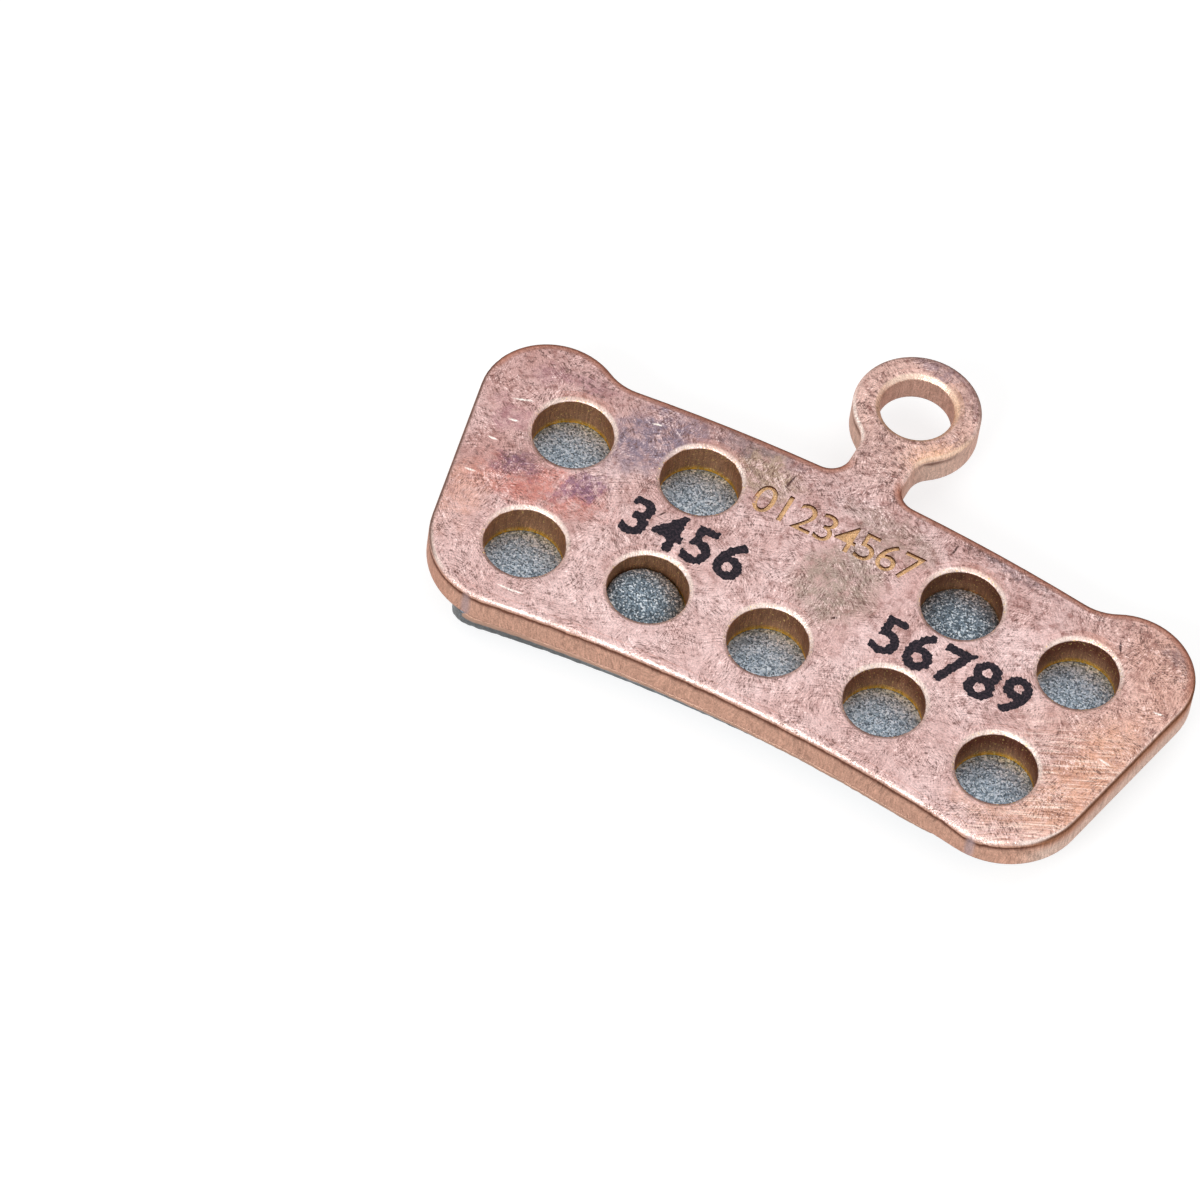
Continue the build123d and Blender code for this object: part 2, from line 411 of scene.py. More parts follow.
# Scuffs from tumbling: bundles of short strokes in several directions, drawn coarser than they are
SCUFF_BEND = 1.5
bend = add_node(copper, "TexNoise", {"Vector": point, "Scale": 1 / 3, "Detail": 1})
bent = add_node(copper, "VectorMath", {
    "Vector": bend.outputs["Color"], "Vector_001": (SCUFF_BEND, SCUFF_BEND, 0), "Vector_002": point},
    operation="MULTIPLY_ADD")
scuffs = 0.0
for turn, length in ((27, 1.2), (75, 0.5), (-30, 0.55), (130, 0.7), (5, 0.45), (100, 0.4)):
    stroke = add_node(copper, "Mapping", {
        "Vector": bent, "Rotation": (0, 0, radians(turn)), "Scale": (length, 0.07, 1)}, vector_type="TEXTURE")
    stroke = add_node(copper, "TexNoise", {"Vector": stroke, "Scale": 1.0, "Detail": 2})
    stroke = add_node(copper, "MapRange", {
        "Value": stroke, "From Min": 0.32, "From Max": 0.68, "To Min": -1, "To Max": 1})
    bundle = add_node(copper, "Mapping", {"Vector": point, "Location": (0, 0, turn)})
    bundle = add_node(copper, "TexNoise", {"Vector": bundle, "Scale": 1 / 2.2, "Detail": 2})
    bundle = add_node(copper, "MapRange", {"Value": bundle, "From Min": 0.42, "From Max": 0.6})
    scuffs = add_node(copper, "Math", {
        "Value": stroke, "Value_001": bundle, "Value_002": scuffs}, operation="MULTIPLY_ADD")
for start, end, strength, tint in ((-0.6, -1.3, 0.7, "#7a5850"), (0.9, 1.6, 0.5, "#f0dad6")):
    marked = add_node(copper, "MapRange", {
        "Value": scuffs, "From Min": start, "From Max": end, "To Max": strength})
    layers.append((marked, colour(tint)))

# Rolls and rims lightened partly by burnish and partly as a painted highlight, crescent-shaped painted
# highlights on the far rims, and a redder painted shade along the outer edge where the back droops
steep = add_node(copper, "MapRange", {"Value": up, "From Min": 0.1, "From Max": 0.4})
roll = add_node(copper, "MapRange", {"Value": up, "From Min": 0.99, "From Max": 0.85, "To Max": steep})
burnish_and_sheen = add_node(copper, "Math", {"Value": roll, "Value_001": 0.35}, operation="MULTIPLY")
layers.append((burnish_and_sheen, colour("#f2d6ca")))
# Painted highlight: crescent-shaped lightening on the far rims, on rolls that lean towards the front
rim_highlights = add_node(copper, "MapRange", {
    "Value": lean_across, "From Min": -0.06, "From Max": -0.3, "To Max": roll})
rim_highlights = add_node(copper, "MapRange", {
    "Value": ring, "From Min": 103.4, "From Max": 103.8, "To Max": rim_highlights})
layers.append((rim_highlights, colour("#f0dad0")))
at_edge = add_node(copper, "MapRange", {"Value": ring, "From Min": 117.5, "From Max": 119})
# Painted shade: a redder band where the back droops away along the outer edge
droop_shade = add_node(copper, "MapRange", {
    "Value": across, "From Min": 9.5, "From Max": 8.5, "To Max": at_edge})
droop_shade = add_node(copper, "MapRange", {
    "Value": height, "From Min": 4.298, "From Max": 4.24, "To Max": droop_shade})
layers.append((droop_shade, colour("#b57e6c")))

# Painted shade: the rolls that face outwards, into a hole, to the left end or to the right end are painted
# brown
far_side = add_node(copper, "Math", {"Value": at_edge, "Value_001": 0.65}, operation="MULTIPLY")
at_left_end = add_node(copper, "MapRange", {"Value": along, "From Min": -18, "From Max": -20})
at_right_end = add_node(copper, "MapRange", {"Value": along, "From Min": 18, "From Max": 20})
rightward = add_node(copper, "MapRange", {
    "Value": lean_along, "From Min": 0.5, "From Max": 0.8, "To Max": at_right_end})
away_shade = rightward
for lean, start, end, where in (
    (lean_across, 0.03, 0.3, far_side),
    (lean_across, 0.15, 0.6, 1.0),
    (lean_along, -0.25, -0.6, at_left_end),
):
    turned = add_node(copper, "MapRange", {
        "Value": lean, "From Min": start, "From Max": end, "To Max": where})
    away_shade = add_node(copper, "Math", {"Value": away_shade, "Value_001": turned}, operation="MAXIMUM")
away_shade = add_node(copper, "Math", {"Value": away_shade, "Value_001": steep}, operation="MULTIPLY")
painted_roll_shade = add_node(copper, "Math", {"Value": away_shade, "Value_001": 0.8}, operation="MULTIPLY")
layers.append((painted_roll_shade, colour("#6b463a")))

# Sheared wall: upright streaks 0.07 mm wide, paler round the eye
on_eye = add_node(copper, "MapRange", {"Value": across, "From Min": 9, "From Max": 10})
streaks = add_node(copper, "Mapping", {"Vector": point, "Scale": (1 / 0.07, 1 / 0.07, 1 / 2.5)})
streaks = add_node(copper, "TexNoise", {"Vector": streaks, "Scale": 1.0, "Detail": 3})
streaks = add_node(copper, "MapRange", {"Value": streaks, "From Min": 0.3, "From Max": 0.7})
wall_look = add_node(copper, "Mix", {
    "Factor_Float": streaks, "A_Color": colour("#c09683"), "B_Color": colour("#c89f8b")}, data_type="RGBA")
wall_look = add_node(copper, "Mix", {
    "Factor_Float": on_eye, "A_Color": wall_look, "B_Color": colour("#d3b5a6")}, data_type="RGBA")
wall = add_node(copper, "MapRange", {"Value": flatness, "From Min": 0.5, "From Max": 0.15})
layers.append((wall, wall_look))

# Dark line where the roll meets the wall on the near side, sunk at the corner and thin on the eye
ragged = add_node(copper, "TexNoise", {"Vector": point, "Scale": 1 / 0.6, "Detail": 4})
ragged_height = add_node(copper, "Math", {
    "Value": ragged, "Value_001": 0.3, "Value_002": height}, operation="MULTIPLY_ADD")
dip = add_node(copper, "Mapping", {
    "Vector": point, "Location": (16.3, -10.6, 4), "Scale": (2.2, 2.2, 4)}, vector_type="TEXTURE")
dip = add_node(copper, "TexGradient", {"Vector": dip}, gradient_type="SPHERICAL")
line_height = add_node(copper, "Math", {
    "Value": dip, "Value_001": 0.35, "Value_002": ragged_height}, operation="MULTIPLY_ADD")
line_height = add_node(copper, "MapRange", {"Value": line_height, "From Min": 3.5, "From Max": 4.1})
line = add_node(copper, "ValToRGB", {"Fac": line_height})
for position in (0.42, 0.7, 0.9):
    line.color_ramp.elements.new(position)
line_stops = ((0.15, 0.0), (0.42, 0.3), (0.7, 0.9), (0.9, 0.9), (0.98, 0.0))
for stop, (position, strength) in zip(line.color_ramp.elements, line_stops):
    stop.position = position
    stop.color = (strength, strength, strength, 1)
on_body = add_node(copper, "MapRange", {"Value": across, "From Min": 4, "From Max": 0})
lined = add_node(copper, "Math", {
    "Value": on_eye, "Value_001": 0.8, "Value_002": on_body}, operation="MULTIPLY_ADD")
lined = add_node(copper, "MapRange", {
    "Value": lean_across, "From Min": -0.3, "From Max": -0.7, "To Max": lined})
lined = add_node(copper, "Math", {"Value": line, "Value_001": lined}, operation="MULTIPLY")

# Painted highlight: a golden roll on the near right side of the eye, where it faces the front
eye_roll_highlight = add_node(copper, "MapRange", {"Value": along, "From Min": 0.5, "From Max": 2, "To Max": 0.55})
eye_roll_highlight = add_node(copper, "Math", {"Value": eye_roll_highlight, "Value_001": on_eye}, operation="MULTIPLY")
eye_roll_highlight = add_node(copper, "MapRange", {
    "Value": lean_across, "From Min": 0.02, "From Max": -0.2, "To Max": eye_roll_highlight})
eye_roll_highlight = add_node(copper, "Math", {"Value": eye_roll_highlight, "Value_001": steep}, operation="MULTIPLY")
layers.append((eye_roll_highlight, colour("#eab990")))
layers.append((lined, colour("#5a3427")))

# Right end: a pale wall that browns and darkens up to the roll
for start, end, strength, tint in (
    (3.7, 3.1, 0.7, "#e0cdc0"), (3.6, 4.05, 0.75, "#9c6a48"), (4.0, 4.2, 0.6, "#6a4436"),
):
    end_band = add_node(copper, "MapRange", {
        "Value": ragged_height, "From Min": start, "From Max": end, "To Max": strength})
    end_band = add_node(copper, "Math", {"Value": end_band, "Value_001": rightward}, operation="MULTIPLY")
    layers.append((end_band, colour(tint)))

# Upright grey marks on the near wall, at both corners
for x in (-16.6, 16.2):
    mark = add_node(copper, "Mapping", {
        "Vector": point, "Location": (x, -11.1, 2.9), "Scale": (0.4, 0.8, 1.7)}, vector_type="TEXTURE")
    mark = add_node(copper, "TexGradient", {"Vector": mark}, gradient_type="SPHERICAL")
    mark = add_node(copper, "MapRange", {"Value": mark, "From Max": 0.6, "To Max": 0.7})
    layers.append((mark, colour("#ab979a")))

# Pin eye: a peach rim, partly burnish and partly painted highlight, and a streaked wall
in_eye = add_node(copper, "Attribute", {}, attribute_name="pin_bore").outputs["Fac"]
eye_rim_burnish_sheen = add_node(copper, "Math", {"Value": roll, "Value_001": in_eye}, operation="MULTIPLY")
eye_rim_burnish_sheen = add_node(copper, "Math", {"Value": eye_rim_burnish_sheen, "Value_001": 0.4}, operation="MULTIPLY")
layers.append((eye_rim_burnish_sheen, colour("#eabf9c")))
eye_look = add_node(copper, "Mix", {
    "Factor_Float": streaks, "A_Color": colour("#b38c7c"), "B_Color": colour("#c9a292")}, data_type="RGBA")
eye_wall = add_node(copper, "Math", {"Value": wall, "Value_001": in_eye}, operation="MULTIPLY")
layers.append((eye_wall, eye_look))

# Keying holes: brown oxide, redder at the right, and a painted golden reflection low on the wall, by the
# compound
in_bore = add_node(copper, "Attribute", {}, attribute_name="keying_bore").outputs["Fac"]
bore_look = add_node(copper, "Mix", {
    "Factor_Float": streaks, "A_Color": colour("#a67a5c"), "B_Color": colour("#cf9c76")}, data_type="RGBA")
redder = add_node(copper, "MapRange", {
    "Value": along, "From Min": -5, "From Max": 12, "To Min": 0.15, "To Max": 0.85})
redder = add_node(copper, "MapRange", {
    "Value": ragged_height, "From Min": 2.5, "From Max": 3.6, "To Max": redder})
gold_reflection = add_node(copper, "MapRange", {"Value": ragged_height, "From Min": 2.6, "From Max": 2.25})
for mask, tint in ((redder, "#7a4436"), (gold_reflection, "#f0b23c")):
    bore_look = add_node(copper, "Mix", {
        "Factor_Float": mask, "A_Color": bore_look, "B_Color": colour(tint)}, data_type="RGBA")
bore_wall = add_node(copper, "MapRange", {
    "Value": ragged_height, "From Min": 4.24, "From Max": 4.16, "To Max": in_bore})
layers.append((bore_wall, bore_look))
# Painted highlight: glinting dots in the painted golden reflection low in the holes
painted_glint_dots = add_node(copper, "TexNoise", {"Vector": point, "Scale": 1 / 0.12, "Detail": 1})
painted_glint_dots = add_node(copper, "Math", {
    "Value": gold_reflection, "Value_001": 0.1, "Value_002": painted_glint_dots}, operation="MULTIPLY_ADD")
painted_glint_dots = add_node(copper, "MapRange", {
    "Value": painted_glint_dots, "From Min": 0.66, "From Max": 0.7, "To Max": in_bore})
layers.append((painted_glint_dots, colour("#f2cf86")))

# Engraved grooves: bright brassy floors between walls darkened as painted shade
groove_look = add_node(copper, "Mix", {
    "Factor_Float": streaks, "A_Color": colour("#c08f60"), "B_Color": colour("#ecc498")}, data_type="RGBA")
groove_look = add_node(copper, "Mix", {
    "Factor_Float": flatness, "A_Color": colour("#4d3224"), "B_Color": groove_look}, data_type="RGBA")
in_groove = add_node(copper, "Attribute", {}, attribute_name="groove").outputs["Fac"]
layers.append((in_groove, groove_look))

# Front face: duller tan copper with dark dots, pinker on the eye, inside a dark rolled edge
dots = add_node(copper, "MapRange", {"Value": flecks, "From Min": 0.6, "From Max": 0.66})
front_look = add_node(copper, "Mix", {
    "Factor_Float": dots, "A_Color": colour("#c0a08b"), "B_Color": colour("#6b4c3a")}, data_type="RGBA")
front_look = add_node(copper, "Mix", {
    "Factor_Float": on_eye, "A_Color": front_look, "B_Color": colour("#c59c92")}, data_type="RGBA")
front = add_node(copper, "MapRange", {"Value": up, "From Min": -0.5, "From Max": -0.9})
layers.append((front, front_look))
front_roll = add_node(copper, "MapRange", {"Value": up, "From Min": -0.1, "From Max": -0.5, "To Max": 0.7})
front_roll = add_node(copper, "MapRange", {
    "Value": up, "From Min": -0.97, "From Max": -0.8, "To Max": front_roll})
layers.append((front_roll, colour("#6a443c")))

for mask, tint in layers:
    look = add_node(copper, "Mix", {"Factor_Float": mask, "A_Color": look, "B_Color": tint}, data_type="RGBA")

# Fine grain, drawn 0.11 mm wide to show, and the scuffs lighten and darken all of it
grain = add_node(copper, "TexNoise", {"Vector": point, "Scale": 1 / 0.11, "Detail": 2, "Roughness": 0.8})
light = add_node(copper, "MapRange", {
    "Value": grain, "From Min": 0.3, "From Max": 0.7, "To Min": 0.74, "To Max": 1.26})
light = add_node(copper, "Math", {
    "Value": scuffs, "Value_001": 0.14, "Value_002": light}, operation="MULTIPLY_ADD")
look = add_node(copper, "Mix", {
    "Factor_Float": 1.0, "A_Color": look, "B_Color": light}, data_type="RGBA", blend_type="MULTIPLY")
relief = add_node(copper, "Math", {
    "Value": scuffs, "Value_001": 0.5, "Value_002": grain}, operation="MULTIPLY_ADD")
relief = add_node(copper, "Math", {
    "Value": pits, "Value_001": -0.6, "Value_002": relief}, operation="MULTIPLY_ADD")
rough = add_node(copper, "MapRange", {
    "Value": cloud, "From Min": 0.3, "From Max": 0.7, "To Min": 0.34, "To Max": 0.52})
for mask, change in ((roll, -0.08), (away_shade, 0.4)):
    rough = add_node(copper, "Math", {
        "Value": mask, "Value_001": change, "Value_002": rough}, operation="MULTIPLY_ADD")
# Painted shade in reflections: the rolls that face away get a dark specular tint
edge_tint_and_shade = add_node(copper, "Mix", {
    "Factor_Float": away_shade, "A_Color": colour("#d8b8b0"), "B_Color": colour("#201412")}, data_type="RGBA")
shader = add_node(copper, "BsdfPrincipled", {
    "Base Color": look,
    "Metallic": 0.85,
    "Specular Tint": edge_tint_and_shade,
    "Roughness": rough,
    "Normal": add_node(copper, "Bump", {"Height": relief, "Strength": 0.5, "Distance": 0.03 * MM}),
})
copper.links.new(shader.outputs[0], copper.nodes["Material Output"].inputs["Surface"])

# Friction block: metal powder, pressed and sintered onto the front of the plate. Its powder closes the
# keying holes and rose into two of them, brazing copper was squeezed out along its foot, and its face
# was ground flat, with a bevel along the near edge.
KEY_TILT = radians(8)
KEY_MIDDLE_RISE = 0.45 * MM
KEY_STRETCH = (0.97, 0.97, 1.35)
KEY_SHIFT = (-0.06 * MM, -0.03 * MM, 0.1 * MM)
KEY_ROOT = 0.1 * MM
ASKEW = radians(1)
WORN_CORNER = Vector((17.0 * MM, -10.2 * MM, 0))
CORNER_WEAR = (-0.4 * MM, 0.25 * MM, 0)
WEAR_REACH = 0.9 * MM
WEAR_SPREAD = 2 * MM
BEAD_RADIUS = 0.26 * MM
BEAD_RING = 102.46 * MM
BEAD_HALF_ANGLE = 8.4
BEAD_RISE = Vector((0, 0, 1.74 * MM))
BEAD_TIP_RISE = Vector((0, 0, 1.9 * MM))
BEAD_TAPER = 3.5 * MM
BEAD_TIP_SIZE = 0.1
BEAD_STEPS = 60
VOXEL = 0.14 * MM
GRIT_WIDTH = 0.35 * MM
GRIT_DEPTH = 0.07 * MM
GROUND_HEIGHT = 0.2 * MM

block = merged_copy("friction_pad", "friction_block")
key_place = on_ring(LOWER_ROW_RADIUS, -LOWER_ROW_PITCH)
key_middle = key_place + Vector((0, 0, PLATE_FRONT + KEY_MIDDLE_RISE))


def is_worn_corner(vertex):
    """Whether a vertex is on the near right corner of the block, below the plate."""
    below_plate = vertex.co.z < PLATE_FRONT + MERGE_DISTANCE
    return below_plate and (vertex.co - WORN_CORNER).xy.length < WEAR_REACH


def is_left_key(vertex):
    """Whether a vertex is on the left of the two keys, above its root."""
    above_root = vertex.co.z > PLATE_FRONT + KEY_ROOT
    return above_root and (vertex.co - key_place).xy.length < 1.05 * HOLE_RADIUS


# The left key stands higher and tilted, and the block sits a degree askew on the plate, its near
# right corner worn back
bpy.ops.object.mode_set(mode="EDIT")
select(block, "VERT", is_left_key)
bpy.ops.transform.rotate(value=-KEY_TILT, orient_axis="Y", center_override=key_middle)
bpy.ops.transform.rotate(value=-KEY_TILT / 2, orient_axis="X", center_override=key_middle)
bpy.ops.transform.resize(value=KEY_STRETCH, center_override=key_middle)
bpy.ops.transform.translate(value=KEY_SHIFT)
select(block, "VERT", lambda vertex: vertex.co.z < PLATE_FRONT + MERGE_DISTANCE)
bpy.ops.transform.rotate(value=-ASKEW, orient_axis="Z", center_override=(0, 0, 0))
select(block, "VERT", is_worn_corner)
bpy.ops.transform.translate(value=CORNER_WEAR, use_proportional_edit=True,
                            proportional_edit_falloff="SMOOTH", proportional_size=WEAR_SPREAD)
bpy.ops.object.mode_set(mode="OBJECT")

# Bead of brazing copper along the foot, tapered to both ends
bpy.ops.object.select_all(action="DESELECT")
bpy.ops.mesh.primitive_circle_add(
    vertices=12, radius=BEAD_RADIUS, fill_type="NGON",
    location=on_ring(BEAD_RING, -BEAD_HALF_ANGLE) + BEAD_RISE,
    rotation=(radians(90), 0, radians(90 + BEAD_HALF_ANGLE)))
bead = bpy.context.object
bead.name = "flash_bead"
bpy.ops.object.transform_apply()
bpy.ops.object.mode_set(mode="EDIT")
bpy.ops.mesh.select_all(action="SELECT")
bpy.ops.mesh.spin(steps=BEAD_STEPS, angle=radians(2 * BEAD_HALF_ANGLE), center=(0, DISC_CENTRE_Y, 0),
                  axis=(0, 0, 1))
bpy.ops.object.mode_set(mode="OBJECT")
merge_doubles()
bpy.ops.object.mode_set(mode="EDIT")
for tip in (on_ring(BEAD_RING, -BEAD_HALF_ANGLE), on_ring(BEAD_RING, BEAD_HALF_ANGLE)):
    select(bead, "VERT", lambda vertex: (vertex.co - tip).xy.length < 1.1 * BEAD_RADIUS)
    bpy.ops.transform.resize(
        value=(BEAD_TIP_SIZE,) * 3, center_override=tip + BEAD_TIP_RISE, use_proportional_edit=True,
        proportional_edit_falloff="SMOOTH", proportional_size=BEAD_TAPER)
bpy.ops.object.mode_set(mode="OBJECT")
bead.select_set(True)
block.select_set(True)
bpy.context.view_layer.objects.active = block
bpy.ops.object.join()

# One skin of grains, gritty all over but for the ground face
apply_modifier("REMESH", mode="VOXEL", voxel_size=VOXEL)
apply_modifier("SMOOTH", factor=0.5, iterations=8)
unground = block.vertex_groups.new(name="unground")
unground.add([v.index for v in block.data.vertices if v.co.z > GROUND_HEIGHT], 1, "REPLACE")
grit_relief = bpy.data.textures.new("compound_grit", "CLOUDS")
grit_relief.noise_scale = GRIT_WIDTH
grit_relief.noise_depth = 2
apply_modifier("DISPLACE", texture=grit_relief, texture_coords="LOCAL", strength=GRIT_DEPTH,
               mid_level=1.0, vertex_group="unground")
bpy.ops.object.shade_smooth()

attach(block, "root")
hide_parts("friction_pad")

# Sintered metal compound: pressed grains of several metals, 0.09 mm wide. The eye sees glinting salt
# and pepper in the holes, brighter on the keys, and dull slate where the face was ground.
OPEN_TONES = ((0.22, "#4b5a67"), (0.65, "#a4b9cb"), (1.0, "#e8f2fb"))
KEY_TONES = ((0.3, "#424d56"), (0.75, "#7d909f"), (1.0, "#e8f0f6"))
GROUND_TONES = ((0.22, "#26313b"), (0.65, "#455361"), (1.0, "#7f93a5"))
GREEN_FLECKS = (
    (-14.2, -2.6, 0.4), (-13.4, -3.2, 0.25), (-15.0, -1.4, 0.25), (-12.8, -7.0, 0.3), (6.1, 2.2, 0.4))
FLECK_WARP = 0.5
BEVEL_RING = 104.25

compound = new_material("sintered_metal_compound", block)
point = add_node(compound, "TexCoord", {}).outputs["Object"]
point = add_node(compound, "Mapping", {"Vector": point, "Scale": (1 / MM,) * 3})
height = add_node(compound, "SeparateXYZ", {"Vector": point}).outputs["Z"]
facing = add_node(compound, "NewGeometry", {}).outputs["Normal"]
up = add_node(compound, "SeparateXYZ", {"Vector": facing}).outputs["Z"]
flatness = add_node(compound, "Math", {"Value": up}, operation="ABSOLUTE")
from_disc = add_node(compound, "Mapping", {
    "Vector": point, "Location": (0, -DISC_CENTRE_Y / MM, 0), "Scale": (1, 1, 0)})
ring = add_node(compound, "VectorMath", {"Vector": from_disc}, operation="LENGTH").outputs["Value"]

grains = add_node(compound, "TexVoronoi", {"Vector": point, "Scale": 1 / 0.09})
grains = add_node(compound, "SeparateColor", {"Color": grains.outputs["Color"]})
dust = add_node(compound, "TexNoise", {"Vector": point, "Scale": 1 / 0.07, "Detail": 2})
tone = add_node(compound, "Math", {"Value": dust, "Value_001": 0.4}, operation="MULTIPLY")
tone = add_node(compound, "Math", {
    "Value": grains, "Value_001": 0.8, "Value_002": tone}, operation="MULTIPLY_ADD")
shades = []
for tones in (OPEN_TONES, KEY_TONES, GROUND_TONES):
    shade = add_node(compound, "ValToRGB", {"Fac": tone})
    shade.color_ramp.elements.new(0.5)
    for stop, (position, tint) in zip(shade.color_ramp.elements, tones):
        stop.position = position
        stop.color = colour(tint)
    shades.append(shade)
look, key_shade, ground = shades

# Ground face: glinting flakes, a paler bevel with a broken bright brink, and lengthwise lines
flakes = add_node(compound, "Mapping", {"Vector": point, "Scale": (1 / 0.19, 1 / 0.12, 1 / 0.12)})
flakes = add_node(compound, "TexVoronoi", {"Vector": flakes, "Scale": 1.0})
flakes = add_node(compound, "SeparateColor", {"Color": flakes.outputs["Color"]})
flakes = add_node(compound, "MapRange", {"Value": flakes, "From Min": 0.7, "From Max": 1.0, "To Max": 0.6})
bevel = add_node(compound, "MapRange", {
    "Value": ring, "From Min": BEVEL_RING + 0.05, "From Max": BEVEL_RING - 0.05, "To Max": 0.3})
brink = add_node(compound, "Math", {
    "Value": ring, "Value_001": BEVEL_RING, "Value_002": 0.12}, operation="COMPARE")
brink = add_node(compound, "MapRange", {
    "Value": tone, "From Min": 0.6, "From Max": 0.9, "To Max": brink})
for mask, tint in ((flakes, "#c9d9e6"), (bevel, "#5f6d79"), (brink, "#d6e0e8")):
    ground = add_node(compound, "Mix", {
        "Factor_Float": mask, "A_Color": ground, "B_Color": colour(tint)}, data_type="RGBA")
ground_lines = add_node(compound, "Mapping", {"Vector": point, "Scale": (1 / 2.5, 1 / 0.14, 1)})
ground_lines = add_node(compound, "TexNoise", {"Vector": ground_lines, "Scale": 1.0, "Detail": 3})
ground_lines = add_node(compound, "MapRange", {
    "Value": ground_lines, "From Min": 0.34, "From Max": 0.66, "To Min": 0.5, "To Max": 1.2})
ground = add_node(compound, "Mix", {
    "Factor_Float": 1.0, "A_Color": ground, "B_Color": ground_lines}, data_type="RGBA", blend_type="MULTIPLY")

# Green flecks of one of the metals, with crooked edges
crooked = add_node(compound, "TexNoise", {"Vector": point, "Scale": 1 / 0.3, "Detail": 3})
crooked = add_node(compound, "VectorMath", {
    "Vector": crooked.outputs["Color"], "Vector_001": (FLECK_WARP, FLECK_WARP, 0), "Vector_002": point},
    operation="MULTIPLY_ADD")
for x, y, radius in GREEN_FLECKS:
    fleck = add_node(compound, "Mapping", {
        "Vector": crooked, "Location": (x + FLECK_WARP / 2, y + FLECK_WARP / 2, 0),
        "Scale": (radius,) * 3}, vector_type="TEXTURE")
    fleck = add_node(compound, "TexGradient", {"Vector": fleck}, gradient_type="SPHERICAL")
    fleck = add_node(compound, "MapRange", {"Value": fleck, "From Max": 0.5, "To Max": 0.9})
    ground = add_node(compound, "Mix", {
        "Factor_Float": fleck, "A_Color": ground, "B_Color": colour("#4faf58")}, data_type="RGBA")

# Keys, ground face, smooth dark moulded walls, the copper bead and a grey mark at the right corner
on_key = add_node(compound, "MapRange", {"Value": height, "From Min": 2.1, "From Max": 2.3})
below_plate = add_node(compound, "MapRange", {"Value": height, "From Min": 1.92, "From Max": 1.88})
moulded = add_node(compound, "Math", {"Value": below_plate, "Value_001": 0.75}, operation="MULTIPLY")
moulded = add_node(compound, "MapRange", {
    "Value": flatness, "From Min": 0.45, "From Max": 0.3, "To Max": moulded})
ragged = add_node(compound, "TexNoise", {"Vector": point, "Scale": 1 / 0.8, "Detail": 4})
ragged_ring = add_node(compound, "Math", {
    "Value": ragged, "Value_001": 0.4, "Value_002": ring}, operation="MULTIPLY_ADD")
on_bead = add_node(compound, "MapRange", {"Value": height, "From Min": 1.55, "From Max": 1.65})
on_bead = add_node(compound, "MapRange", {
    "Value": ragged_ring, "From Min": 102.72, "From Max": 102.66, "To Max": on_bead})
corner = add_node(compound, "Mapping", {
    "Vector": point, "Location": (17.0, -10.6, 1.9), "Scale": (2.6, 1.8, 1.2)}, vector_type="TEXTURE")
corner = add_node(compound, "TexGradient", {"Vector": corner}, gradient_type="SPHERICAL")
corner = add_node(compound, "MapRange", {"Value": corner, "From Max": 0.4, "To Max": 0.85})
for mask, tint in (
    (on_key, key_shade), (below_plate, ground), (moulded, colour("#5b5a57")),
    (on_bead, colour("#b58e7a")), (corner, colour("#b3a3ac")),
):
    look = add_node(compound, "Mix", {
        "Factor_Float": mask, "A_Color": look, "B_Color": tint}, data_type="RGBA")
shader = add_node(compound, "BsdfPrincipled", {
    "Base Color": look,
    "Metallic": 0.5,
    "Roughness": 0.38,
    "Normal": add_node(compound, "Bump", {"Height": tone, "Strength": 0.9, "Distance": 0.08 * MM}),
})
compound.links.new(shader.outputs[0], compound.nodes["Material Output"].inputs["Surface"])

# Ink digits: two rows of plain digits on the back of the plate, between its rows of holes. They are
# a film of quick-drying ink, jetted on in dots that ran together at the edges.
INK_ROWS = (("ink_digits_left", "3456", -7.45), ("ink_digits_right", "56789", 10.0))
INK_ROW_Y = -1.25 * MM
INK_HEIGHT = 3.75 * MM
INK_BOLDNESS = 0.075 * MM
INK_START_THICKNESS = 0.4 * MM
INK_FILM = 0.008 * MM
INK_SPACING = 1.08
INK_VOXEL = 0.06 * MM
BLEED_WIDTH = 0.22 * MM
BLEED_STRENGTH = 0.3 * MM

bleed = bpy.data.textures.new("ink_bleed", "CLOUDS")
bleed.noise_scale = BLEED_WIDTH
bleed.noise_depth = 1
ink_pieces = []
for name, digits, x in INK_ROWS:
    ink_row = solid_digits(name, digits, (x * MM, INK_ROW_Y, PLATE_BACK), INK_HEIGHT, INK_SPACING,
                           INK_BOLDNESS, INK_START_THICKNESS)
    apply_modifier("REMESH", mode="VOXEL", voxel_size=INK_VOXEL)
    apply_modifier("DISPLACE", texture=bleed, texture_coords="LOCAL", strength=BLEED_STRENGTH, mid_level=0.5)
    bpy.ops.object.mode_set(mode="EDIT")
    bpy.ops.mesh.select_all(action="SELECT")
    bpy.ops.transform.resize(value=(1, 1, INK_FILM / INK_START_THICKNESS),
                             center_override=(0, 0, PLATE_BACK))
    bpy.ops.object.mode_set(mode="OBJECT")
    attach(ink_row, "root")
    ink_pieces.append(ink_row)

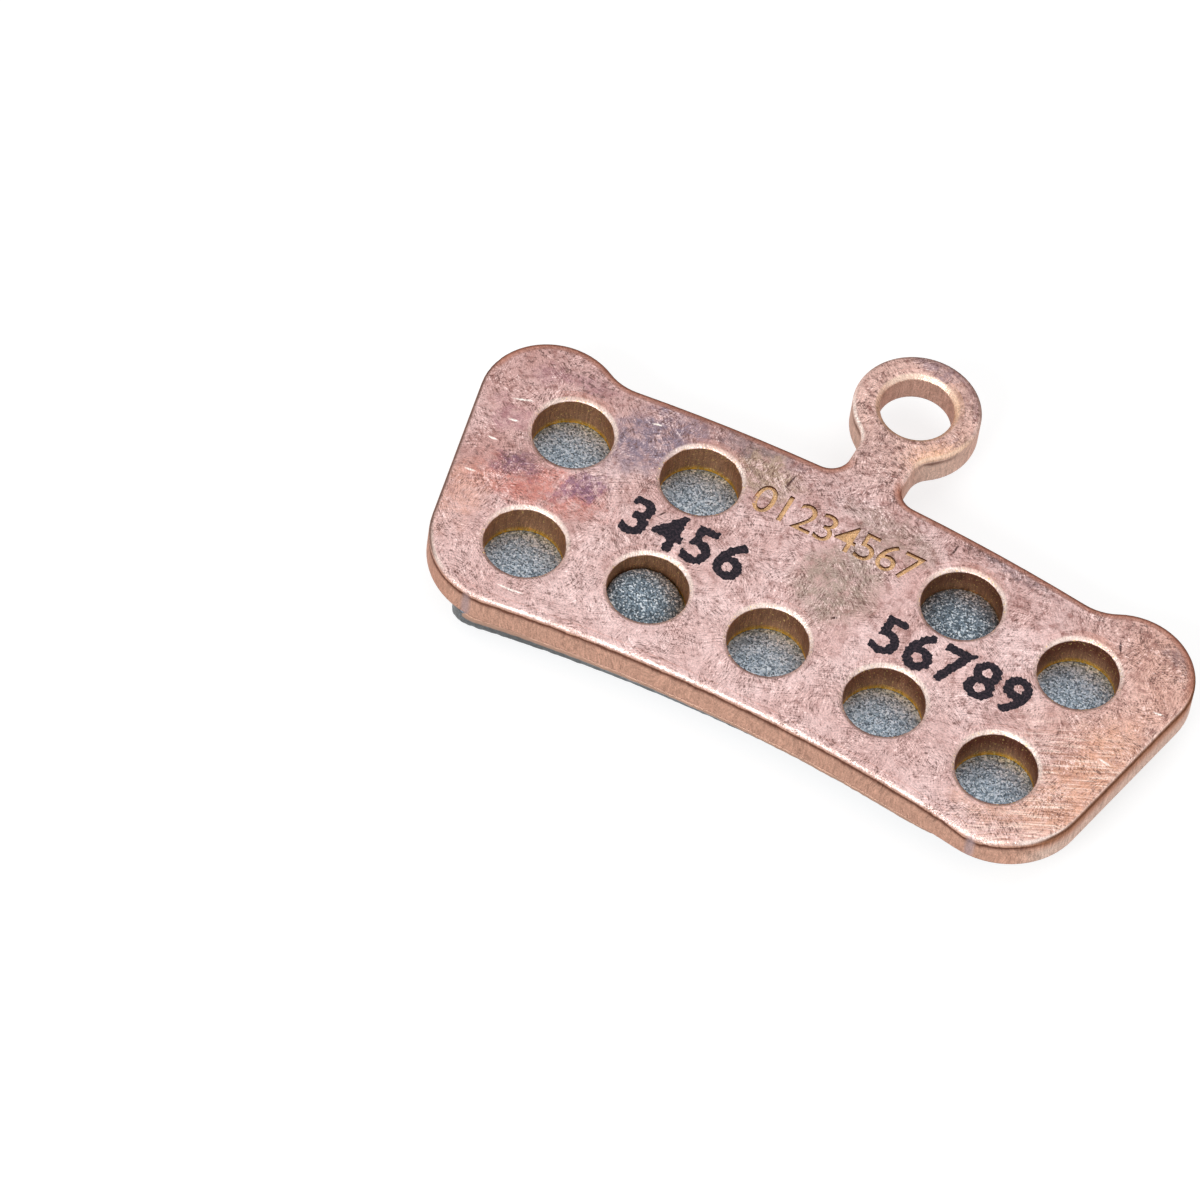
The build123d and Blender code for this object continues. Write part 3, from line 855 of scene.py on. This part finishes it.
# Jetted ink: near black with a violet cast. The eye sees a dull film that thins out between its dots.
ink = new_material("jetted_ink", *ink_pieces)
point = add_node(ink, "TexCoord", {}).outputs["Object"]
point = add_node(ink, "Mapping", {"Vector": point, "Scale": (1 / MM,) * 3})
film = add_node(ink, "TexNoise", {"Vector": point, "Scale": 1 / 0.16, "Detail": 4, "Roughness": 0.7})
thin = add_node(ink, "MapRange", {"Value": film, "From Min": 0.45, "From Max": 0.7})
look = add_node(ink, "Mix", {
    "Factor_Float": thin, "A_Color": colour("#17141d"), "B_Color": colour("#4b3c44")}, data_type="RGBA")
shader = add_node(ink, "BsdfPrincipled", {
    "Base Color": look,
    "Roughness": add_node(ink, "MapRange", {"Value": film, "To Min": 0.4, "To Max": 0.7}),
    "Specular IOR Level": 0.15,
    "Normal": add_node(ink, "Bump", {"Height": film, "Strength": 0.4, "Distance": 0.03 * MM}),
})
ink.links.new(shader.outputs[0], ink.nodes["Material Output"].inputs["Surface"])

# Studio: a sheet of white paper under the pad, a white room and two square softboxes. The paper and
# the room are white to the camera and in reflections, and light the pad at a plain level.
PAPER_GLOW = 0.74
PAPER_TONE = "#aaaaaa"
ROOM_LIGHT = 0.55
CAMERA_PLACE = [value * MM for value in (106.159, -324.772, 474.584)]
CAMERA_TURN = [radians(value) for value in (35.3404, -5.2781, 27.4534)]

bpy.ops.object.select_all(action="DESELECT")
bpy.ops.mesh.primitive_plane_add(size=6, location=(0, 0, -0.01 * MM))
floor = bpy.context.object
floor.name = "floor"
paper = new_material("white_paper", floor)
world = bpy.data.worlds.new("studio")
world.use_nodes = True
bpy.context.scene.world = world
room = world.node_tree

seen_directly = {}
for tree in (paper, room):
    light_path = add_node(tree, "LightPath", {})
    seen = light_path.outputs["Is Camera Ray"]
    for ray in ("Is Glossy Ray", "Is Transmission Ray"):
        seen = add_node(tree, "Math", {
            "Value": seen, "Value_001": light_path.outputs[ray]}, operation="MAXIMUM")
    seen_directly[tree] = seen

# White paper: smooth and matt. The eye sees a plain pale ground with the pad's soft shadow on it.
glow = add_node(paper, "Math", {"Value": seen_directly[paper], "Value_001": PAPER_GLOW}, operation="MULTIPLY")
glow = add_node(paper, "Emission", {"Strength": glow})
matt = add_node(paper, "BsdfDiffuse", {"Color": colour(PAPER_TONE)})
surface = add_node(paper, "AddShader", {"Shader": glow, "Shader_001": matt})
paper.links.new(surface.outputs[0], paper.nodes["Material Output"].inputs["Surface"])
level = add_node(room, "MapRange", {"Value": seen_directly[room], "To Min": ROOM_LIGHT, "To Max": 1.0})
room.links.new(level.outputs[0], room.nodes["Background"].inputs["Strength"])
room.nodes["Background"].inputs["Color"].default_value = (1, 1, 1, 1)

for name, place, size, watts in (
    ("front_softbox", Vector((-0.13, -0.6, 0.38)), 0.35, 2.8),
    ("top_softbox", Vector((0.1, 0.3, 0.6)), 0.5, 0.6),
):
    bpy.ops.object.light_add(
        type="AREA", location=place, rotation=(-place).to_track_quat("-Z", "Y").to_euler())
    lamp = bpy.context.object
    lamp.name = name
    lamp.data.size = size
    lamp.data.energy = watts

bpy.ops.object.camera_add(location=CAMERA_PLACE, rotation=CAMERA_TURN)
camera = bpy.context.object
camera.data.lens = 300
camera.data.sensor_width = 36
bpy.context.scene.camera = camera
bpy.context.scene.view_settings.view_transform = "Standard"
